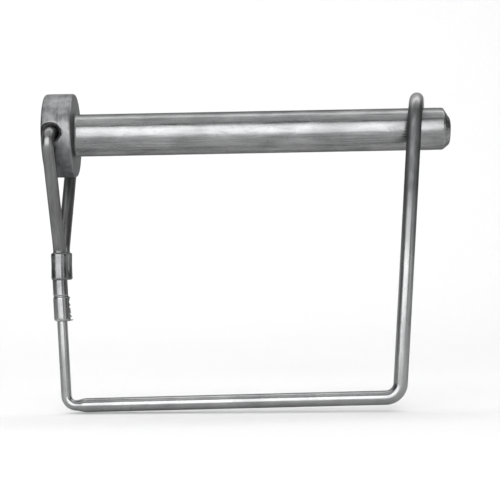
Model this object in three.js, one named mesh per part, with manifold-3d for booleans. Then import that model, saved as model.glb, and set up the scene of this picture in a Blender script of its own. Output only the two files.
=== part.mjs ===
// Wire lock pin for a trailer hitch: a headed steel pin, and a square wire bail that swings on
// a yoke through the head and hooks over the pin's tip so that the pin can't work out.
//
// Frame, in millimetres: the origin is on the pin's axis in the plane of the head's seat face.
// +X runs along the shank to the tip, +Z is up, and the bail hangs towards -Z.
// The bail lies in one flat plane that is turned a little about Z, so that its latch leg passes
// in front of the shank (towards -Y). Bail points are given in that plane's own frame:
// s along the bail away from the head, n across it towards the back, z up.

import * as THREE from "three";
import { mergeVertices } from "three/addons/utils/BufferGeometryUtils.js";
import Module from "manifold-3d";

const wasm = await Module();
wasm.setup();

// Pin
const SHANK_DIAMETER = 9.525; // 3/8 in
const SHANK_LENGTH = 84.2; // seat face to tip
const TIP_CHAMFER = 1.5;
const HEAD_DIAMETER = 18.8;
const HEAD_THICKNESS = 6.7;
const CROSS_HOLE_X = -3.6; // middle of the hole that the yoke wire runs in
const HEAD_EDGE = 0.7; // rounding of the head's two edges
const SEAT_FILLET = 0.9; // where the shank meets the seat face
const CROSS_HOLE_DIAMETER = 4.6;

// Bail plane and wires
const BAIL_YAW = THREE.MathUtils.degToRad(5);
const YOKE_WIRE = 2.78; // 7/64 in
const SPRING_WIRE = 2.3;
const ARM_WIRE = 3.175; // 1/8 in
const YOKE_REACH = 13.2; // yoke elbow to the bail plane, along n
const YOKE_DROP = 0.1; // the yoke wire lies this far below the middle of its hole
const YOKE_BEND = 2.4; // bend radius of the yoke's elbows, at the wire's middle
const GATHER_BEND = 3; // bend radius where each yoke leg turns down into the crimp band
const YOKE_GATHER = -25.4; // height at which the two yoke legs come together
const FRONT_LEG = [-0.72, -0.3]; // s, n of the front leg inside the crimp band
const BACK_LEG = [-0.35, 2.5]; // s, n of the back leg inside the crimp band

// Crimps
const CRIMP_GAP = 0.12; // clearance between a crimped piece and its wire
const BAND_WALL = 0.4;
const BAND_TOP = -26.4;
const BAND_BOTTOM = -32.6;
const SLEEVE_TOP = -32.9;
const SLEEVE_RING = -36.3; // groove between the sleeve's two crimps
const SLEEVE_BOTTOM = -41.9;
const SLEEVE_NECK_DIAMETER = 3.2;
const SLEEVE_DIAMETER = 3.46;
const SLEEVE_GROOVE_DEPTH = 0.18;
const SLEEVE_EDGE = 0.4; // chamfer of the lower crimp's two ends

// Spring wire, arm and hook
const SPRING_SPLIT = -54; // where the spring wire twists
const SPLIT_GAP = 0.3; // clearance between two lengths of one wire
const SPRING_TOP = [-0.75, SLEEVE_TOP]; // s, z
const LEFT_CORNER = [0.3, -61]; // s, z
const RIGHT_CORNER = [75.15, -59.8]; // s, z
const LEFT_BEND = 2.3; // bend radius at the left corner, at the wire's middle
const RIGHT_BEND = 3.4; // the same at the right corner
const SWAGE_START = 2.5; // s where the arm begins to taper down onto the spring wire
const SWAGE_LENGTH = 2.1;
const SWAGE_LAP = 0.1; // how far the taper runs into the wire at each of its ends
const LATCH_LEAN = THREE.MathUtils.degToRad(4.105); // of the latch leg, away from the head
const HOOK_SPLIT = -9; // height at which the hook begins
const HOOK_DROP = 0.3; // the hook's bend is centred this far below the pin's axis
const HOOK_TAIL = 2; // straight end of the hook behind the pin
const HOOK_SKEW = 1; // the end stands this much further from the head than the latch leg does
const BEND_PLAY = 0.01; // keeps the hook's two bends from meeting at its top

const WIRE_SIDES = 16;
const BEND_STEPS = 8;
const ROUND_SIDES = 64;
const EDGE_STEPS = 4;
const WELD = 1e-4; // points closer than this are one point

const steel = {
  pin: { color: 0x9a9b9d, roughness: 0.38, metalness: 1 },
  wire: { color: 0x84858a, roughness: 0.34, metalness: 1 },
  crimp: { color: 0x77787b, roughness: 0.45, metalness: 1 },
};

function solidOf(geometry) {
  const bare = geometry.clone();
  bare.deleteAttribute("normal");
  bare.deleteAttribute("uv");
  const merged = mergeVertices(bare, WELD);
  return new wasm.Manifold(
    new wasm.Mesh({
      numProp: 3,
      vertProperties: merged.attributes.position.array,
      triVerts: new Uint32Array(merged.index.array),
    }),
  );
}

function geometryOf(solid) {
  const mesh = solid.getMesh();
  const geometry = new THREE.BufferGeometry();
  geometry.setAttribute("position", new THREE.BufferAttribute(mesh.vertProperties, 3));
  geometry.setIndex(new THREE.BufferAttribute(mesh.triVerts, 1));
  return geometry;
}

function named(name, geometry, finish) {
  const shaded = geometry.index ? geometry.toNonIndexed() : geometry;
  shaded.computeVertexNormals();
  const mesh = new THREE.Mesh(shaded, new THREE.MeshStandardMaterial(finish));
  mesh.name = name;
  return mesh;
}

// A bent wire's middle line: straight runs between the given corners, each corner rounded by an
// arc. Its parameter steps from one stored point to the next, so a bend gets as many steps as it
// needs and a straight run gets one.
class BentWire extends THREE.Curve {
  constructor(corners, bends) {
    super();
    this.points = [corners[0]];
    this.tangents = [corners[1].clone().sub(corners[0]).normalize()];
    for (let i = 1; i < corners.length - 1; i++) this.addBend(corners, i, bends[i - 1]);
    const last = corners.length - 1;
    this.points.push(corners[last]);
    this.tangents.push(corners[last].clone().sub(corners[last - 1]).normalize());
  }

  addBend(corners, i, radius) {
    const arriving = corners[i].clone().sub(corners[i - 1]).normalize();
    const leaving = corners[i + 1].clone().sub(corners[i]).normalize();
    const turn = arriving.angleTo(leaving);
    const setBack = radius * Math.tan(turn / 2);
    const start = corners[i].clone().addScaledVector(arriving, -setBack);
    const axis = arriving.clone().cross(leaving).normalize();
    const inward = axis.clone().cross(arriving);
    const centre = start.clone().addScaledVector(inward, radius);
    const steps = Math.max(2, Math.ceil((BEND_STEPS * turn) / (Math.PI / 2)));
    for (let k = 0; k <= steps; k++) {
      const angle = (turn * k) / steps;
      const spoke = inward.clone().negate().applyAxisAngle(axis, angle);
      this.points.push(centre.clone().addScaledVector(spoke, radius));
      this.tangents.push(arriving.clone().applyAxisAngle(axis, angle));
    }
  }

  get steps() {
    return this.points.length - 1;
  }

  nearest(t) {
    return Math.round(t * this.steps);
  }

  getPoint(t, target = new THREE.Vector3()) {
    return target.copy(this.points[this.nearest(t)]);
  }

  getTangent(t, target = new THREE.Vector3()) {
    return target.copy(this.tangents[this.nearest(t)]);
  }

  getUtoTmapping(u) {
    return u;
  }
}

function wireAlong(corners, bends, diameter) {
  const path = new BentWire(corners, bends);
  const section = new THREE.Shape();
  section.absarc(0, 0, diameter / 2, 0, 2 * Math.PI);
  return new THREE.ExtrudeGeometry(section, {
    steps: path.steps,
    curveSegments: WIRE_SIDES,
    extrudePath: path,
  });
}

// A solid of revolution about a line through middle that leans from the vertical, towards s.
// The profile is (radius, z) points and closes on itself.
function turnedUpright(profile, middle, lean) {
  const points = profile.map(([radius, z]) => new THREE.Vector2(radius, z - middle.z));
  const lathe = new THREE.LatheGeometry(points, WIRE_SIDES * 2);
  return lathe.rotateX(Math.PI / 2).rotateY(lean).translate(middle.x, middle.y, middle.z);
}

// Points of a turned profile along an arc, from one angle to another. Angles are from the axis.
function edgeRound(centreAlong, centreRadius, radius, fromAngle, toAngle) {
  const points = [];
  for (let k = 0; k <= EDGE_STEPS; k++) {
    const angle = fromAngle + ((toAngle - fromAngle) * k) / EDGE_STEPS;
    const out = centreRadius + radius * Math.sin(angle);
    points.push(new THREE.Vector2(out, centreAlong + radius * Math.cos(angle)));
  }
  return points;
}

// The pin: head, seat fillet, shank and chamfered tip turned about X, with the cross hole that
// the yoke wire runs in. The hole is square to the bail plane.
function pinBody() {
  const headRadius = HEAD_DIAMETER / 2;
  const shankRadius = SHANK_DIAMETER / 2;
  const edgeMiddle = headRadius - HEAD_EDGE;
  const filletMiddle = shankRadius + SEAT_FILLET;
  const profile = [
    new THREE.Vector2(0, -HEAD_THICKNESS),
    ...edgeRound(-HEAD_THICKNESS + HEAD_EDGE, edgeMiddle, HEAD_EDGE, Math.PI, Math.PI / 2),
    ...edgeRound(-HEAD_EDGE, edgeMiddle, HEAD_EDGE, Math.PI / 2, 0),
    ...edgeRound(SEAT_FILLET, filletMiddle, SEAT_FILLET, Math.PI, 1.5 * Math.PI),
    new THREE.Vector2(shankRadius, SHANK_LENGTH - TIP_CHAMFER),
    new THREE.Vector2(shankRadius - TIP_CHAMFER, SHANK_LENGTH),
    new THREE.Vector2(0, SHANK_LENGTH),
  ];
  const turned = new THREE.LatheGeometry(profile, ROUND_SIDES).rotateZ(-Math.PI / 2);
  const drill = new THREE.CylinderGeometry(
    CROSS_HOLE_DIAMETER / 2,
    CROSS_HOLE_DIAMETER / 2,
    HEAD_DIAMETER * 1.5,
    WIRE_SIDES * 2,
  );
  drill.rotateZ(-BAIL_YAW).translate(CROSS_HOLE_X, 0, 0);
  return geometryOf(solidOf(turned).subtract(solidOf(drill)));
}

const at = (s, n, z) => new THREE.Vector3(s, n, z);

// One wire through the head's cross hole, with both legs brought together below the head.
function yokeWire() {
  const corners = [
    at(...FRONT_LEG, BAND_BOTTOM),
    at(...FRONT_LEG, YOKE_GATHER),
    at(0, -YOKE_REACH, -YOKE_DROP),
    at(0, YOKE_REACH, -YOKE_DROP),
    at(...BACK_LEG, YOKE_GATHER),
    at(...BACK_LEG, BAND_BOTTOM),
  ];
  return wireAlong(corners, [GATHER_BEND, YOKE_BEND, YOKE_BEND, GATHER_BEND], YOKE_WIRE);
}

// The oval band that crimps the yoke's two legs together: a racetrack tube.
function racetrack(radius, reversed) {
  const across = Math.atan2(BACK_LEG[1] - FRONT_LEG[1], BACK_LEG[0] - FRONT_LEG[0]);
  const quarter = Math.PI / 2;
  const outline = new THREE.Path();
  outline.absarc(...FRONT_LEG, radius, across + quarter, across + 3 * quarter, false);
  outline.absarc(...BACK_LEG, radius, across - quarter, across + quarter, false);
  const points = outline.getPoints(WIRE_SIDES);
  points.pop();
  return reversed ? points.reverse() : points;
}

function crimpBand() {
  const inside = YOKE_WIRE / 2 + CRIMP_GAP;
  const section = new THREE.Shape(racetrack(inside + BAND_WALL, false));
  section.holes.push(new THREE.Path(racetrack(inside, true)));
  const height = BAND_TOP - BAND_BOTTOM;
  const band = new THREE.ExtrudeGeometry(section, { depth: height, bevelEnabled: false });
  return band.translate(0, 0, BAND_BOTTOM);
}

// The spring wire's straight line from the crimp band to the bail's lower left corner.
const springLean = Math.atan2(SPRING_TOP[0] - LEFT_CORNER[0], SPRING_TOP[1] - LEFT_CORNER[1]);

function springAt(z) {
  const share = (z - SPRING_TOP[1]) / (LEFT_CORNER[1] - SPRING_TOP[1]);
  return at(SPRING_TOP[0] + share * (LEFT_CORNER[0] - SPRING_TOP[0]), 0, z);
}

// The sleeve that crimps the spring wire to the front leg's end, in two crimps with a groove
// between them.
function spliceSleeve() {
  const bore = SPRING_WIRE / 2 + CRIMP_GAP;
  const neck = SLEEVE_NECK_DIAMETER / 2;
  const body = SLEEVE_DIAMETER / 2;
  const groove = neck - SLEEVE_GROOVE_DEPTH;
  const profile = [
    [bore, SLEEVE_BOTTOM],
    [body - SLEEVE_EDGE, SLEEVE_BOTTOM],
    [body, SLEEVE_BOTTOM + SLEEVE_EDGE],
    [body, SLEEVE_RING - SLEEVE_EDGE],
    [groove, SLEEVE_RING - SLEEVE_EDGE / 2],
    [groove, SLEEVE_RING],
    [neck, SLEEVE_RING + SLEEVE_EDGE / 2],
    [neck, SLEEVE_TOP],
    [bore, SLEEVE_TOP],
    [bore, SLEEVE_BOTTOM],
  ];
  return turnedUpright(profile, springAt((SLEEVE_TOP + SLEEVE_BOTTOM) / 2), springLean);
}

function springWire() {
  const corners = [springAt(SLEEVE_TOP), springAt(SPRING_SPLIT + SPLIT_GAP)];
  return wireAlong(corners, [], SPRING_WIRE);
}

const armAt = (s) => {
  const share = (s - LEFT_CORNER[0]) / (RIGHT_CORNER[0] - LEFT_CORNER[0]);
  return at(s, 0, LEFT_CORNER[1] + share * (RIGHT_CORNER[1] - LEFT_CORNER[1]));
};

const latchDirection = at(Math.sin(LATCH_LEAN), 0, Math.cos(LATCH_LEAN));

function latchAt(z) {
  const along = (z - RIGHT_CORNER[1]) / Math.cos(LATCH_LEAN);
  return at(RIGHT_CORNER[0], 0, RIGHT_CORNER[1]).addScaledVector(latchDirection, along);
}

// The arm: the lower end of the spring wire, round the bail's lower left corner, then the
// taper up to the full wire, the bottom run and the latch leg.
function bailArm() {
  const taperEnd = SWAGE_START + SWAGE_LENGTH;
  const corner = wireAlong(
    [springAt(SPRING_SPLIT), at(LEFT_CORNER[0], 0, LEFT_CORNER[1]), armAt(SWAGE_START)],
    [LEFT_BEND],
    SPRING_WIRE,
  );
  const run = wireAlong(
    [armAt(taperEnd), at(RIGHT_CORNER[0], 0, RIGHT_CORNER[1]), latchAt(HOOK_SPLIT)],
    [RIGHT_BEND],
    ARM_WIRE,
  );
  const length = SWAGE_LENGTH + 2 * SWAGE_LAP;
  const taper = new THREE.CylinderGeometry(ARM_WIRE / 2, SPRING_WIRE / 2, length, WIRE_SIDES * 2);
  const direction = armAt(taperEnd).sub(armAt(SWAGE_START)).normalize();
  const facing = new THREE.Quaternion().setFromUnitVectors(at(0, 1, 0), direction);
  const middle = armAt((SWAGE_START + taperEnd) / 2);
  taper.applyQuaternion(facing).translate(middle.x, middle.y, middle.z);
  return geometryOf(solidOf(corner).add(solidOf(taper)).add(solidOf(run)));
}

// The hook: up the front of the shank, over its top and down behind it.
function latchHook() {
  const hookCentre = latchAt(-HOOK_DROP);
  const reach = (hookCentre.x * Math.tan(BAIL_YAW)) / Math.cos(BAIL_YAW);
  const top = hookCentre.clone().addScaledVector(latchDirection, reach);
  const behind = at(HOOK_SKEW, 2 * reach, 0);
  const corners = [
    latchAt(HOOK_SPLIT + SPLIT_GAP),
    top,
    top.clone().add(behind),
    hookCentre.clone().add(behind).addScaledVector(latchDirection, -HOOK_TAIL),
  ];
  const bend = reach - BEND_PLAY;
  return wireAlong(corners, [bend, bend], ARM_WIRE);
}

const bail = new THREE.Group();
bail.position.x = CROSS_HOLE_X;
bail.rotation.z = -BAIL_YAW;
bail.add(
  named("yoke_wire", yokeWire(), steel.wire),
  named("crimp_band", crimpBand(), steel.crimp),
  named("splice_sleeve", spliceSleeve(), steel.crimp),
  named("spring_wire", springWire(), steel.wire),
  named("bail_arm", bailArm(), steel.wire),
  named("latch_hook", latchHook(), steel.wire),
);

const lockPin = new THREE.Group();
lockPin.add(named("pin_body", pinBody(), steel.pin), bail);

export default lockPin;
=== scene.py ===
"""Wire lock pin: a headed steel pin and a square wire bail, zinc plated, on a pale floor.

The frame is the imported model's own: the origin is on the pin's axis in the plane of the head's
seat face, +X runs along the shank to the tip and +Z is up. Sizes are in millimetres and are
turned into metres where a mesh is made.
"""

import math

import bpy
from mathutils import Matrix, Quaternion, Vector, noise


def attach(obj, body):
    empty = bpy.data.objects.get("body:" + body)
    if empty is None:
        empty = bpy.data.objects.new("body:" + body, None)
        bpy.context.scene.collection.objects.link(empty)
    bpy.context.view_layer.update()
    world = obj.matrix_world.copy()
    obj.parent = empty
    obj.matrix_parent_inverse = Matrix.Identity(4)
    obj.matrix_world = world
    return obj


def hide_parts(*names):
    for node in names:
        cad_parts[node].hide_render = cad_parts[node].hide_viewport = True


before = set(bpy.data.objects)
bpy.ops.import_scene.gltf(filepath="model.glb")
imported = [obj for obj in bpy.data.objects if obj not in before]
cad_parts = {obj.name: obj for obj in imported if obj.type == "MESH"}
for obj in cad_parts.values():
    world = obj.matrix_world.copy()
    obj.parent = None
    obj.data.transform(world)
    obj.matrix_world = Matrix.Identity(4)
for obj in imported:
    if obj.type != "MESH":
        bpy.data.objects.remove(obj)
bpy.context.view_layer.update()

MM = 0.001

# Pin
SHANK_RADIUS = 9.525 / 2
SHANK_LENGTH = 84.2
HEAD_RADIUS = 18.8 / 2
HEAD_THICKNESS = 6.7
HEAD_OUTER_EDGE = 0.75
HEAD_SEAT_EDGE = 0.6
SEAT_FILLET = 0.85
TIP_CHAMFER = 1.5
TIP_INSET = 0.02
CHAMFER_EDGES = (0.9, 0.6)
PIN_PITCH = 0.9
PIN_SIDES = 160
EDGE_STEPS = 7
CAP_RADIUS = 0.6
DENT_DEPTH = 0.07
DENTED_ZONE = 5
TIP_ZONE = 8
TIP_WEAR = 1.3
TIP_WEAR_LENGTH = 1.5
TIP_FLAT = 0.16
TIP_FLAT_ANGLE = math.radians(205)
TIP_FLAT_LENGTH = 2.6
HOLE_RADIUS = 4.6 / 2
HINGE_X = -3.6

# The cross hole's mouth: depths under the head's rim, and how much wider than HOLE_RADIUS it is
HOLE_MOUTH = ((-1.4, 1.4), (0.1, 0.1), (0.6, -0.4), (1.4, -0.7))

# Bail
BAIL_YAW = math.radians(5)
YOKE_RADIUS = 2.78 / 2
SPRING_RADIUS = 2.3 / 2
ARM_RADIUS = 3.175 / 2
YOKE_REACH = 13.2
YOKE_DROP = 0.1
YOKE_BEND = 2.4
GATHER_BEND = 3.0
YOKE_GATHER = -25.4
FRONT_LEG = (-0.72, -0.3)
BACK_LEG = (-0.35, 2.5)
SPRING_SPLIT = -54.0
SPLIT_GAP = 0.01
SPRING_TOP_S = -0.75
LEFT_CORNER = (0.3, -61.0)
RIGHT_CORNER = (75.15, -59.8)
LEFT_BEND = 2.3
RIGHT_BEND = 3.4
SWAGE_START = 2.5
SWAGE_LENGTH = 2.1
SWAGE_BLEND = 0.3
LATCH_LEAN = math.radians(4.105)
HOOK_DROP = 0.3
HOOK_TAIL = 2.0
HOOK_SKEW = 1.0
BEND_PLAY = 0.01

# Crimps
BAND_TOP = -26.4
BAND_BOTTOM = -32.6
BAND_WALL = 0.5
BAND_EDGE = 0.45
BAND_WAIST = 0.62
WAIST_SPREAD = 0.42
BAND_HOLLOW = 0.06
BAND_UNEVENNESS = 0.015
SLEEVE_TOP = -32.9
SLEEVE_RING = -36.3
SLEEVE_BOTTOM = -41.9
SLEEVE_OVERLAP = 0.3
NECK_RADIUS = 1.6
RING_RADIUS = 1.5
SLEEVE_RADIUS = 1.68
SLEEVE_PITCH = 0.12
SLEEVE_SIDES = 128
NECK_FLASH = 0.08
FLASH_ANGLE = 0.13
FLASH_TABS = ((SLEEVE_RING - 0.15, 0.4), (SLEEVE_BOTTOM + 0.3, 0.65))
TAB_LENGTH = 0.17
SEAM_HEIGHT = 0.1
SEAM_ANGLE = 0.12

# Where the bail wire gets painted shade on the latch leg and a painted glint on the hook's top,
# as lengths along it from the sleeve
PAINTED_SHADE_FROM = (130, 148)
PAINTED_SHADE_TO = (164, 168)
PAINTED_GLINT_FROM = (165, 170)

# Stage and camera
FLOOR_Z = -62.75
FLOOR_BACK = 190
SWEEP_RADIUS = 200
CAMERA_PLACE = (38.75, -289, -26.6)
CAMERA_ROLL = math.radians(1.1)
CAMERA_LENS = 92
CAMERA_SENSOR = 36


def at(s, n, z):
    """A point of the bail's plane in the object's frame: s away from the head, n to the back."""
    cos, sin = math.cos(BAIL_YAW), math.sin(BAIL_YAW)
    return Vector((HINGE_X + s * cos + n * sin, -s * sin + n * cos, z))


def smooth(low, high, value):
    """0 below low, 1 above high, and an even ease between them."""
    share = min(max((value - low) / (high - low), 0.0), 1.0)
    return share * share * (3 - 2 * share)


# Meshes


def new_piece(name, vertices, faces, body, coords=None):
    """A smooth-shaded object from points in millimetres, riding on one of the CAD bodies."""
    mesh = bpy.data.meshes.new(name)
    mesh.from_pydata([tuple(v * MM for v in p) for p in vertices], [], faces)
    if coords is not None:
        layer = mesh.attributes.new("wire", "FLOAT_VECTOR", "POINT")
        layer.data.foreach_set("vector", [v * MM for c in coords for v in c])
    mesh.shade_smooth()
    mesh.set_sharp_from_angle(angle=math.radians(45))
    piece = bpy.data.objects.new(name, mesh)
    bpy.context.scene.collection.objects.link(piece)
    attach(piece, body)
    return piece


def loft(rings, caps=(True, True)):
    """Vertices and faces between equal closed rings of points, with a cap at each end or not."""
    count = len(rings[0])
    vertices = [p for ring in rings for p in ring]
    faces = []
    for r in range(len(rings) - 1):
        for k in range(count):
            a, b = r * count + k, r * count + (k + 1) % count
            faces.append((a, b, b + count, a + count))
    if caps[0]:
        faces.append(tuple(reversed(range(count))))
    if caps[1]:
        faces.append(tuple(range((len(rings) - 1) * count, len(rings) * count)))
    return vertices, faces


def bent_line(corners, bends, pitch=0.6):
    """Closely spaced points along straight runs whose corners are rounded by arcs."""
    points = [corners[0]]

    def run_to(target):
        start = points[-1]
        steps = max(1, round((target - start).length / pitch))
        for k in range(1, steps + 1):
            points.append(start.lerp(target, k / steps))

    for i, radius in enumerate(bends, start=1):
        arriving = (corners[i] - corners[i - 1]).normalized()
        leaving = (corners[i + 1] - corners[i]).normalized()
        turn = arriving.angle(leaving)
        start = corners[i] - arriving * radius * math.tan(turn / 2)
        axis = arriving.cross(leaving).normalized()
        inward = axis.cross(arriving)
        centre = start + inward * radius
        run_to(start)
        steps = max(6, math.ceil(turn / math.radians(5)))
        for k in range(1, steps + 1):
            points.append(centre + Quaternion(axis, turn * k / steps) @ -inward * radius)
    run_to(corners[-1])
    return points


def wire(name, points, radius_at, body, sides=40, edges=(0.3, 0.3), begins=0.0):
    """A wire along the points. radius_at gives its radius at a point, edges its ends' rounding.

    An end whose rounding is 0 is left open, to join the wire's next length. begins is how far
    along the whole wire this length of it starts.
    """
    first = (points[1] - points[0]).normalized()
    last = (points[-1] - points[-2]).normalized()
    shares = (0.05, 0.2, 0.45, 0.75, 1.0)
    start, end = [points[0]], [points[-1]]
    if edges[0]:
        start += [points[0] + first * edges[0] * share for share in shares]
    if edges[1]:
        end = [points[-1] - last * edges[1] * share for share in reversed(shares)] + end
    points = start + points[1:-1] + end
    lengths = [0.0]
    for before, after in zip(points, points[1:]):
        lengths.append(lengths[-1] + (after - before).length)
    tangents = [first]
    for before, after in zip(points, points[2:]):
        tangents.append((after - before).normalized())
    tangents.append(last)
    across = first.orthogonal().normalized()
    rings, coords = [], []
    for i, (point, tangent, length) in enumerate(zip(points, tangents, lengths)):
        if i:
            across = tangents[i - 1].rotation_difference(tangent) @ across
        across = (across - tangent * across.dot(tangent)).normalized()
        beside = tangent.cross(across)
        radius = radius_at(point)
        for edge, from_end in zip(edges, (length, lengths[-1] - length)):
            if from_end < edge:
                radius -= edge - math.sqrt(edge**2 - (edge - from_end) ** 2)
        ring = []
        for k in range(sides):
            angle = 2 * math.pi * k / sides
            cos, sin = math.cos(angle), math.sin(angle)
            ring.append(point + (across * cos + beside * sin) * radius)
            coords.append((begins + length, radius * cos, radius * sin))
        rings.append(ring)
    vertices, faces = loft(rings, [edge > 0 for edge in edges])
    return new_piece(name, vertices, faces, body, coords)


def turned(profile, sides, place):
    """A turned solid. Its (along, radius) profile starts and ends close to the axis.

    place makes a point of a distance along the axis and two distances across it.
    """
    rings = []
    for along, radius in profile:
        ring = []
        for k in range(sides):
            angle = 2 * math.pi * k / sides
            ring.append(place(along, radius * math.cos(angle), radius * math.sin(angle)))
        rings.append(ring)
    return loft(rings)


def rounded(corner, before, after, radius, steps=6):
    """Points of a curve, close to an arc of the radius, that rounds a profile's corner."""
    corner, before, after = Vector(corner), Vector(before), Vector(after)
    into = (corner - before).normalized()
    out = (after - corner).normalized()
    turn = into.angle(out)
    back = radius * math.tan(turn / 2)
    start, end = corner - into * back, corner + out * back
    points = []
    for k in range(steps + 1):
        t = k / steps
        points.append(tuple((1 - t) ** 2 * start + 2 * t * (1 - t) * corner + t * t * end))
    return points


def refined(profile, pitch):
    """The profile with its long straight stretches divided."""
    points = [profile[0]]
    for before, after in zip(profile, profile[1:]):
        steps = max(1, round(math.dist(before, after) / pitch))
        for k in range(1, steps + 1):
            points.append(tuple(a + (b - a) * k / steps for a, b in zip(before, after)))
    return points


# Materials


class Nodes:
    """Short names for the nodes that every material here is built from."""

    def __init__(self, name):
        self.material = bpy.data.materials.new(name)
        self.material.use_nodes = True
        self.tree = self.material.node_tree
        self.shader = self.tree.nodes["Principled BSDF"]

    def add(self, kind, **settings):
        node = self.tree.nodes.new(kind)
        for key, value in settings.items():
            setattr(node, key, value)
        return node

    def link(self, output, socket):
        self.tree.links.new(output, socket)

    def scaled(self, vector, scale):
        node = self.add("ShaderNodeMapping")
        node.inputs["Scale"].default_value = scale
        self.link(vector, node.inputs["Vector"])
        return node.outputs["Vector"]

    def noise(self, vector, scale=1.0, detail=3.0, roughness=0.5, distortion=0.0):
        node = self.add("ShaderNodeTexNoise")
        node.inputs["Scale"].default_value = scale
        node.inputs["Detail"].default_value = detail
        node.inputs["Roughness"].default_value = roughness
        node.inputs["Distortion"].default_value = distortion
        self.link(vector, node.inputs["Vector"])
        return node.outputs["Fac"]

    def span(self, value, low, high, to_low, to_high):
        node = self.add("ShaderNodeMapRange")
        node.clamp = True
        for key, number in (
            ("From Min", low),
            ("From Max", high),
            ("To Min", to_low),
            ("To Max", to_high),
        ):
            node.inputs[key].default_value = number
        self.link(value, node.inputs["Value"])
        return node.outputs["Result"]

    def math(self, operation, a, b=0.0):
        node = self.add("ShaderNodeMath", operation=operation)
        for socket, value in zip(node.inputs, (a, b)):
            if isinstance(value, (int, float)):
                socket.default_value = value
            else:
                self.link(value, socket)
        return node.outputs["Value"]

    def mix(self, share, a, b):
        node = self.add("ShaderNodeMix", data_type="RGBA")
        for socket, value in zip((node.inputs[0], node.inputs[6], node.inputs[7]), (share, a, b)):
            if isinstance(value, (int, float, tuple)):
                socket.default_value = value
            else:
                self.link(value, socket)
        return node.outputs[2]

    def bump(self, height, depth, normal=None):
        node = self.add("ShaderNodeBump")
        node.inputs["Distance"].default_value = depth
        self.link(height, node.inputs["Height"])
        if normal is not None:
            self.link(normal, node.inputs["Normal"])
        return node.outputs["Normal"]


def grey(value, tint=0.0):
    """A grey, bluer with more tint."""
    return (value * (1 - tint), value, value * (1 + tint), 1.0)


def zinc(name, vector_of, light, dark, marks, rough, depth, extra=None):
    """Zinc plated steel: drawing marks along the piece, cloudy patches, pits and worn edges.

    marks is the scale of the drawing marks along and around the piece, and depth their height in
    metres. extra takes the nodes, the vector, the base colour, the roughness and the height, and
    returns the last three with what only this piece shows.
    """
    m = Nodes(name)
    vector = vector_of(m)
    along, around = marks
    streaks = m.noise(m.scaled(vector, (along, around, around)), detail=6, roughness=0.62)
    broad = m.noise(m.scaled(vector, (along * 0.4, around * 0.22, around * 0.22)), detail=3)
    clouds = m.noise(m.scaled(vector, (130, 260, 260)), detail=4, distortion=0.4)
    grain = m.noise(m.scaled(vector, (4200, 6200, 6200)), detail=2)
    pits = m.noise(m.scaled(vector, (900, 1500, 1500)), detail=4, roughness=0.7)
    scuffs = m.noise(m.scaled(vector, (300, 900, 900)), detail=5, roughness=0.75, distortion=1.2)
    wear = m.span(m.add("ShaderNodeNewGeometry").outputs["Pointiness"], 0.505, 0.56, 0.0, 1.0)

    tone = m.math("ADD", m.math("MULTIPLY", streaks, 0.6), m.math("MULTIPLY", broad, 0.5))
    tone = m.math("ADD", tone, m.math("MULTIPLY", clouds, 0.7))
    tone = m.span(tone, 0.72, 1.08, 0.0, 1.0)
    base = m.mix(tone, grey(dark, 0.012), grey(light, 0.008))
    stain = m.span(scuffs, 0.56, 0.74, 0.0, 0.5)
    base = m.mix(stain, base, grey(dark * 0.62, 0.02))
    base = m.mix(m.span(pits, 0.65, 0.76, 0.0, 0.6), base, grey(dark * 0.4))
    base = m.mix(m.math("MULTIPLY", wear, 0.6), base, grey(0.6))

    roughness = m.span(streaks, 0.3, 0.7, rough - 0.06, rough + 0.09)
    roughness = m.math("ADD", roughness, m.math("MULTIPLY", stain, 0.2))
    roughness = m.math("SUBTRACT", roughness, m.math("MULTIPLY", wear, 0.08))
    height = streaks
    if extra:
        base, roughness, height = extra(m, vector, base, roughness, height)
    m.link(base, m.shader.inputs["Base Color"])
    m.link(roughness, m.shader.inputs["Roughness"])
    m.shader.inputs["Metallic"].default_value = 1.0
    # The dark tint dulls the metal where it is seen at a glancing angle.
    m.shader.inputs["Specular Tint"].default_value = grey(0.38)

    normal = m.bump(height, depth)
    normal = m.bump(pits, depth * 0.6, normal)
    normal = m.bump(grain, depth * 0.1, normal)
    m.link(normal, m.shader.inputs["Normal"])
    return m.material


def axis_of(m, vector, axis):
    """One coordinate of a vector."""
    axes = m.add("ShaderNodeSeparateXYZ")
    m.link(vector, axes.inputs["Vector"])
    return axes.outputs[axis]


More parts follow.
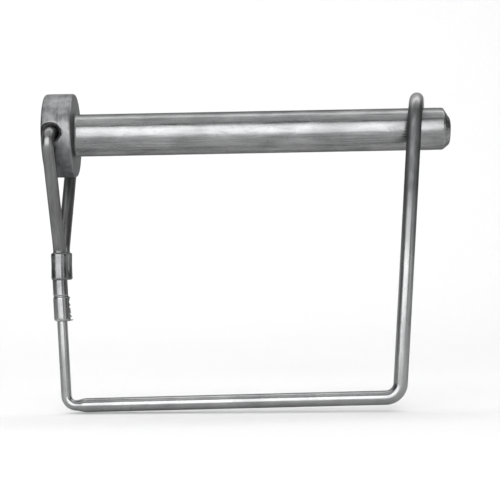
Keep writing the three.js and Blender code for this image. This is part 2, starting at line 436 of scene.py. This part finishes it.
def forged_head_and_painted_light(m, vector, base, roughness, height):
    """The head is duller than the shank, mottled, with turning marks, and painted shade darkens
    its lower half.

    The bore of the cross hole is coloured lighter as painted light.
    """
    x, z = axis_of(m, vector, "X"), axis_of(m, vector, "Z")
    head = m.span(x, -0.0005, 0.0007, 1.0, 0.0)
    turning = m.noise(m.scaled(vector, (2600, 70, 70)), detail=5, roughness=0.6)
    mottle = m.noise(vector, scale=620, detail=6, roughness=0.65, distortion=0.6)
    blend = m.math("ADD", m.math("MULTIPLY", turning, 0.35), m.math("MULTIPLY", mottle, 0.65))
    # Painted shade: the head's colour is made lighter at the top and darker towards the bottom.
    painted_top_light = m.span(m.math("ADD", z, m.math("MULTIPLY", blend, 0.006)), -0.002, 0.009, 0.0, 1.0)
    dark = m.mix(painted_top_light, grey(0.1, 0.02), grey(0.14, 0.01))
    light = m.mix(painted_top_light, grey(0.19, 0.02), grey(0.31, 0.01))
    skin = m.mix(m.span(blend, 0.38, 0.62, 0.0, 1.0), dark, light)
    off_axis = m.math(
        "SUBTRACT",
        m.math("MULTIPLY", m.math("SUBTRACT", x, HINGE_X * MM), math.cos(BAIL_YAW)),
        m.math("MULTIPLY", axis_of(m, vector, "Y"), math.sin(BAIL_YAW)),
    )
    from_axis = m.math("SQRT", m.math("ADD", m.math("POWER", off_axis, 2), m.math("POWER", z, 2)))
    # Painted light: the bore of the cross hole is given a lighter colour.
    bore = m.span(from_axis, (HOLE_RADIUS - 0.5) * MM, (HOLE_RADIUS - 0.1) * MM, 1.0, 0.0)
    skin = m.mix(bore, skin, grey(0.5))
    base = m.mix(head, base, skin)
    dull = m.span(blend, 0.4, 0.6, 0.4, 0.52)
    shank = m.math("SUBTRACT", 1.0, head)
    roughness = m.math(
        "ADD", m.math("MULTIPLY", roughness, shank), m.math("MULTIPLY", dull, head)
    )
    height = m.math(
        "ADD",
        m.math("MULTIPLY", height, shank),
        m.math("MULTIPLY", m.math("MULTIPLY", blend, 2.4), head),
    )
    return base, roughness, height


def latch_painted_shade_and_glint(m, vector, base, roughness, height):
    """The latch leg's upper part is darkened by painted shade and made rougher, and the hook's
    top gets a painted glint.
    """
    along = m.math("MULTIPLY", axis_of(m, vector, "X"), 1 / MM)
    # Painted shade: the latch leg's upper part is darkened, and also made rougher.
    near = m.span(along, *PAINTED_SHADE_FROM, 0.0, 1.0)
    far = m.span(along, *PAINTED_SHADE_TO, 1.0, 0.0)
    painted_shade_patch = m.math("MULTIPLY", near, far)
    patch = m.noise(m.scaled(vector, (260, 700, 700)), detail=5, roughness=0.7)
    painted_shade_patch = m.math("MULTIPLY", painted_shade_patch, m.span(patch, 0.3, 0.6, 0.75, 1.0))
    base = m.mix(m.math("MULTIPLY", painted_shade_patch, 0.95), base, grey(0.085, 0.02))
    # Painted highlight: a glint painted as a lighter colour on the hook's top.
    base = m.mix(m.span(along, *PAINTED_GLINT_FROM, 0.0, 0.7), base, grey(0.6))
    roughness = m.math("ADD", roughness, m.math("MULTIPLY", painted_shade_patch, 0.3))
    return base, roughness, height


def object_vector(m):
    """Object coordinates, with marks along X."""
    return m.add("ShaderNodeTexCoord").outputs["Object"]


def upright_vector(m):
    """Object coordinates turned so that marks which run along X run up and down instead."""
    node = m.add("ShaderNodeMapping")
    node.inputs["Rotation"].default_value = (0, math.radians(90), 0)
    m.link(object_vector(m), node.inputs["Vector"])
    return node.outputs["Vector"]


def wire_vector(m):
    """The wire's own coordinates: the length along it, then two distances across it."""
    return m.add("ShaderNodeAttribute", attribute_name="wire").outputs["Vector"]


pin_zinc = zinc("pin_zinc", object_vector, 0.28, 0.16, (110, 2300), 0.26, 0.000012, forged_head_and_painted_light)
wire_zinc = zinc("wire_zinc", wire_vector, 0.3, 0.18, (90, 2600), 0.22, 0.000006, latch_painted_shade_and_glint)
yoke_zinc = zinc("yoke_zinc", wire_vector, 0.16, 0.08, (90, 2400), 0.32, 0.000012)
crimp_steel = zinc("crimp_steel", upright_vector, 0.27, 0.13, (90, 1500), 0.2, 0.000008)

# The pin: head, seat fillet, shank and softened chamfer, then the cross hole


def pin_profile():
    """The pin's outline from the head's outer face to the tip."""
    outer_rim = (-HEAD_THICKNESS, HEAD_RADIUS)
    seat_rim = (0, HEAD_RADIUS)
    neck = (0, SHANK_RADIUS)
    end = SHANK_LENGTH - TIP_INSET
    chamfer_start = (SHANK_LENGTH - TIP_CHAMFER, SHANK_RADIUS)
    chamfer_end = (end, SHANK_RADIUS - TIP_CHAMFER * 0.8)
    profile = [
        (-HEAD_THICKNESS, CAP_RADIUS),
        *rounded(outer_rim, (-HEAD_THICKNESS, 0), seat_rim, HEAD_OUTER_EDGE, EDGE_STEPS),
        *rounded(seat_rim, outer_rim, (0, 0), HEAD_SEAT_EDGE, EDGE_STEPS),
        *rounded(neck, seat_rim, (SHANK_LENGTH, SHANK_RADIUS), SEAT_FILLET, EDGE_STEPS),
        *rounded(chamfer_start, neck, chamfer_end, CHAMFER_EDGES[0], EDGE_STEPS),
        *rounded(chamfer_end, chamfer_start, (end, 0), CHAMFER_EDGES[1], EDGE_STEPS),
        (end, CAP_RADIUS),
    ]
    return refined(profile, PIN_PITCH)


def battered(along, y, z):
    """A point of the pin, dented a little everywhere and more at the tip.

    The tip's upper edge is worn round, and its front lower side is flatter.
    """
    angle = math.atan2(z, y)
    radius = math.hypot(y, z)
    share = radius / SHANK_RADIUS
    near_tip = smooth(SHANK_LENGTH - DENTED_ZONE, SHANK_LENGTH, along)
    spot = Vector((along * 0.6, 2.2 * math.cos(angle), 2.2 * math.sin(angle)))
    radius -= abs(DENT_DEPTH * noise.noise(spot)) * (0.25 + near_tip)
    if along > SHANK_LENGTH - TIP_ZONE:
        upper = max(math.sin(angle), 0) ** 1.5
        worn = smooth(SHANK_LENGTH - TIP_WEAR_LENGTH, SHANK_LENGTH, along)
        radius -= TIP_WEAR * share * upper * worn
        beside = math.remainder(angle - TIP_FLAT_ANGLE, 2 * math.pi) / 0.55
        beyond = (along - SHANK_LENGTH + 0.6) / TIP_FLAT_LENGTH
        radius -= TIP_FLAT * share * math.exp(-(beside**2) - beyond**2)
    return Vector((along, radius * math.cos(angle), radius * math.sin(angle)))


def cross_hole():
    """The cutter for the cross hole: a rod along the hinge with a flared end at each mouth."""
    mouth = [(-HEAD_RADIUS + depth, HOLE_RADIUS + wider) for depth, wider in HOLE_MOUTH]
    profile = mouth + [(-along, radius) for along, radius in reversed(mouth)]
    vertices, faces = turned(profile, 64, lambda along, x, z: at(x, along, z))
    mesh = bpy.data.meshes.new("cross_hole")
    mesh.from_pydata([tuple(p * MM) for p in vertices], [], [f[::-1] for f in faces])
    cutter = bpy.data.objects.new("cross_hole", mesh)
    bpy.context.scene.collection.objects.link(cutter)
    return cutter


def pin_body():
    vertices, faces = turned(pin_profile(), PIN_SIDES, battered)
    piece = new_piece("pin", vertices, faces, "pin")
    cutter = cross_hole()
    cut = piece.modifiers.new("cross_hole", "BOOLEAN")
    cut.object = cutter
    cut.solver = "EXACT"
    graph = bpy.context.evaluated_depsgraph_get()
    cut_mesh = bpy.data.meshes.new_from_object(piece.evaluated_get(graph))
    piece.modifiers.clear()
    piece.data = cut_mesh
    bpy.data.objects.remove(cutter)
    return piece


pin = pin_body()
pin.data.materials.append(pin_zinc)
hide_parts("pin_body")

# The yoke: one wire through the cross hole, its two legs gathered in the crimp band

yoke_line = bent_line(
    [
        at(*FRONT_LEG, BAND_BOTTOM),
        at(*FRONT_LEG, YOKE_GATHER),
        at(0, -YOKE_REACH, -YOKE_DROP),
        at(0, YOKE_REACH, -YOKE_DROP),
        at(*BACK_LEG, YOKE_GATHER),
        at(*BACK_LEG, BAND_BOTTOM),
    ],
    [GATHER_BEND, YOKE_BEND, YOKE_BEND, GATHER_BEND],
)
yoke = wire("yoke", yoke_line, lambda point: YOKE_RADIUS, "bail")
yoke.data.materials.append(yoke_zinc)
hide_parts("yoke_wire")

# The bail wire: the thin spring above its twist, and the rest of it below


def spring_at(z):
    """The middle of the thin wire, which leans a little, at the height z."""
    share = (z - SLEEVE_TOP) / (LEFT_CORNER[1] - SLEEVE_TOP)
    return at(SPRING_TOP_S + share * (LEFT_CORNER[0] - SPRING_TOP_S), 0, z)


latch_direction = at(math.sin(LATCH_LEAN), 0, math.cos(LATCH_LEAN)) - at(0, 0, 0)
right_corner = at(RIGHT_CORNER[0], 0, RIGHT_CORNER[1])
hook_height = -HOOK_DROP - RIGHT_CORNER[1]
hook_centre = right_corner + latch_direction * hook_height / math.cos(LATCH_LEAN)
hook_s = RIGHT_CORNER[0] + hook_height * math.tan(LATCH_LEAN)
hook_radius = hook_s * math.tan(BAIL_YAW) / math.cos(BAIL_YAW)
hook_top = hook_centre + latch_direction * hook_radius
behind = at(HOOK_SKEW, 2 * hook_radius, 0) - at(0, 0, 0)

spring_end = SPRING_SPLIT + SPLIT_GAP
spring = wire(
    "spring_wire_upper",
    [spring_at(SLEEVE_TOP + (spring_end - SLEEVE_TOP) * k / 40) for k in range(41)],
    lambda point: SPRING_RADIUS,
    "bail",
    edges=(0.1, 0),
)
spring.data.materials.append(wire_zinc)
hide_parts("spring_wire")


def arm_radius(point):
    """The wire is thin as far as the swage beyond the left corner, and thick after it."""
    s = (point.x - HINGE_X) / math.cos(BAIL_YAW)
    swage_end = SWAGE_START + SWAGE_LENGTH
    share = smooth(SWAGE_START - SWAGE_BLEND, swage_end + SWAGE_BLEND, s)
    return SPRING_RADIUS + (ARM_RADIUS - SPRING_RADIUS) * share


arm_line = bent_line(
    [
        spring_at(SPRING_SPLIT),
        at(LEFT_CORNER[0], 0, LEFT_CORNER[1]),
        right_corner,
        hook_top,
        hook_top + behind,
        hook_centre + behind - latch_direction * HOOK_TAIL,
    ],
    [LEFT_BEND, RIGHT_BEND, hook_radius - BEND_PLAY, hook_radius - BEND_PLAY],
    pitch=0.4,
)
arm = wire(
    "bail_wire",
    arm_line,
    arm_radius,
    "arm",
    edges=(0, 0.35),
    begins=SLEEVE_TOP - SPRING_SPLIT,
)
arm.data.materials.append(wire_zinc)
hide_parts("bail_arm", "latch_hook")

# The crimps


def band_outline(swell, waist):
    """The band's outline round both legs, pulled in at the groove between them."""
    front, rear = Vector(FRONT_LEG), Vector(BACK_LEG)
    along = (rear - front).normalized()
    beside = Vector((along.y, -along.x))
    middle = (front + rear) / 2
    half = (rear - front).length / 2
    radius = YOKE_RADIUS + swell
    points = []
    straight, turns = 14, 22
    for sign in (1, -1):
        for k in range(straight):
            u = (2 * k / straight - 1) * sign
            pull = waist * math.exp(-((u / WAIST_SPREAD) ** 2))
            points.append(middle + along * (u * half) + beside * sign * (radius - pull))
        centre = middle + along * half * sign
        for k in range(turns):
            angle = math.pi * k / turns
            points.append(
                centre + (beside * math.cos(angle) + along * math.sin(angle)) * radius * sign
            )
    return points


def crimp_band():
    """The band, rounded at its two rims and pressed in a little at mid height."""
    height = BAND_TOP - BAND_BOTTOM
    rim = []
    for k in range(6):
        angle = math.pi / 2 * k / 5
        rim.append((BAND_EDGE * (1 - math.cos(angle)), BAND_EDGE * (1 - math.sin(angle))))
    steps = 18
    side = [(BAND_EDGE + (height - 2 * BAND_EDGE) * k / steps, 0.0) for k in range(1, steps)]
    rows = rim + side + [(height - drop, shrink) for drop, shrink in reversed(rim)]
    rings = []
    for drop, shrink in rows:
        z = BAND_TOP - drop
        share = drop / height
        waist = BAND_WAIST * math.sin(math.pi * min(max(share, 0.02), 0.98)) ** 0.5
        swell = BAND_WALL - shrink - BAND_HOLLOW * math.sin(math.pi * share) ** 2
        ring = []
        for point in band_outline(swell, waist):
            uneven = noise.noise(Vector((point.x * 0.9, point.y * 0.9, z * 0.8)))
            ring.append(at(point.x * (1 + BAND_UNEVENNESS * uneven), point.y, z))
        rings.append(ring)
    vertices, faces = loft(rings)
    return new_piece("crimp", vertices, faces, "bail")


band = crimp_band()
band.data.materials.append(crimp_steel)
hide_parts("crimp_band")


def sleeve_outline():
    """The sleeve's (height, radius) profile: a neck, a groove and the longer lower crimp."""
    top = BAND_BOTTOM + SLEEVE_OVERLAP
    neck_rim = (top, NECK_RADIUS)
    lower_rim = (SLEEVE_BOTTOM, SLEEVE_RADIUS)
    return [
        (top, CAP_RADIUS),
        *rounded(neck_rim, (top, 0), (SLEEVE_RING, NECK_RADIUS), 0.3),
        (SLEEVE_RING + 0.35, NECK_RADIUS),
        (SLEEVE_RING + 0.12, RING_RADIUS),
        (SLEEVE_RING - 0.08, RING_RADIUS),
        (SLEEVE_RING - 0.3, SLEEVE_RADIUS),
        *rounded(lower_rim, (SLEEVE_RING, SLEEVE_RADIUS), (SLEEVE_BOTTOM, 0), 0.6),
        (SLEEVE_BOTTOM, CAP_RADIUS),
    ]


def flash_height(z):
    """How far the metal squeezed out between the crimping jaws stands proud.

    It is ragged, grows downwards and has a tab at the groove and at the lower rim.
    """
    if z > SLEEVE_RING + 0.3:
        return NECK_FLASH
    teeth = 0.45 + 0.7 * noise.noise(Vector((3.1, 0, z * 1.9)))
    teeth += 0.6 * noise.noise(Vector((0, 5.2, z * 4.6)))
    share = (SLEEVE_RING - z) / (SLEEVE_RING - SLEEVE_BOTTOM)
    height = (0.35 + 0.45 * share) * max(teeth, 0.2)
    for tab, tall in FLASH_TABS:
        height += tall * math.exp(-(((z - tab) / TAB_LENGTH) ** 2))
    return height


def pressed(z, x, y):
    """A point of the sleeve, with the flash on its right and a low seam on its left."""
    middle = spring_at(z)
    angle = math.atan2(y, x)
    radius = math.hypot(x, y)
    if radius > SPRING_RADIUS + 0.05:
        radius += flash_height(z) * math.exp(-((angle / FLASH_ANGLE) ** 2))
        radius += SEAM_HEIGHT * math.exp(-(((abs(angle) - math.pi) / SEAM_ANGLE) ** 2))
    return Vector((middle.x + radius * math.cos(angle), middle.y + radius * math.sin(angle), z))


def splice_sleeve():
    vertices, faces = turned(refined(sleeve_outline(), SLEEVE_PITCH), SLEEVE_SIDES, pressed)
    return new_piece("sleeve", vertices, [f[::-1] for f in faces], "bail")


sleeve = splice_sleeve()
sleeve.data.materials.append(crimp_steel)
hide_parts("splice_sleeve")

# Floor, backdrop, lights and camera


def backdrop():
    """A floor under the bail that curves up behind it."""
    rows = [(-700, FLOOR_Z)]
    for k in range(17):
        angle = math.pi / 2 * k / 16
        back = FLOOR_BACK + SWEEP_RADIUS * math.sin(angle)
        rows.append((back, FLOOR_Z + SWEEP_RADIUS * (1 - math.cos(angle))))
    rows.append((FLOOR_BACK + SWEEP_RADIUS, 900))
    vertices = [(x, y, z) for y, z in rows for x in (-900, 980)]
    faces = [(2 * k, 2 * k + 1, 2 * k + 3, 2 * k + 2) for k in range(len(rows) - 1)]
    mesh = bpy.data.meshes.new("backdrop")
    mesh.from_pydata([tuple(v * MM for v in p) for p in vertices], [], faces)
    mesh.shade_smooth()
    stage = bpy.data.objects.new("backdrop", mesh)
    bpy.context.scene.collection.objects.link(stage)
    m = Nodes("backdrop_paper")
    fibre = m.noise(object_vector(m), scale=900, detail=3)
    m.link(m.mix(fibre, grey(0.77), grey(0.81)), m.shader.inputs["Base Color"])
    m.shader.inputs["Roughness"].default_value = 0.85
    m.link(m.bump(fibre, 0.00005), m.shader.inputs["Normal"])
    mesh.materials.append(m.material)


backdrop()


def softbox(name, place, target, size, power):
    """A rectangular light, in millimetres and watts, that faces its target."""
    light = bpy.data.lights.new(name, "AREA")
    light.shape = "RECTANGLE"
    light.size, light.size_y = size[0] * MM, size[1] * MM
    light.energy = power
    lamp = bpy.data.objects.new(name, light)
    lamp.location = Vector(place) * MM
    facing = (Vector(target) - Vector(place)).to_track_quat("-Z", "Y")
    lamp.rotation_euler = facing.to_euler()
    bpy.context.scene.collection.objects.link(lamp)


softbox("front", (-100, -370, 108), (-100, 0, 108), (600, 344), 2.4)
softbox("top", (40, 60, 520), (40, 60, 0), (1200, 900), 3.1)
softbox("right", (560, -330, 60), (80, 0, 0), (300, 300), 0.35)
softbox("paper", (40, 120, 460), (40, 360, 20), (900, 160), 1.1)

world = bpy.data.worlds.new("studio")
world.use_nodes = True
world.node_tree.nodes["Background"].inputs["Color"].default_value = grey(0.8)
world.node_tree.nodes["Background"].inputs["Strength"].default_value = 0.2
bpy.context.scene.world = world
bpy.context.scene.view_settings.view_transform = "Standard"

camera_data = bpy.data.cameras.new("camera")
camera_data.lens = CAMERA_LENS
camera_data.sensor_width = CAMERA_SENSOR
camera_data.clip_start = 0.01
camera = bpy.data.objects.new("camera", camera_data)
camera.location = Vector(CAMERA_PLACE) * MM
camera.rotation_euler = (math.radians(90), CAMERA_ROLL, 0)
bpy.context.scene.collection.objects.link(camera)
bpy.context.scene.camera = camera
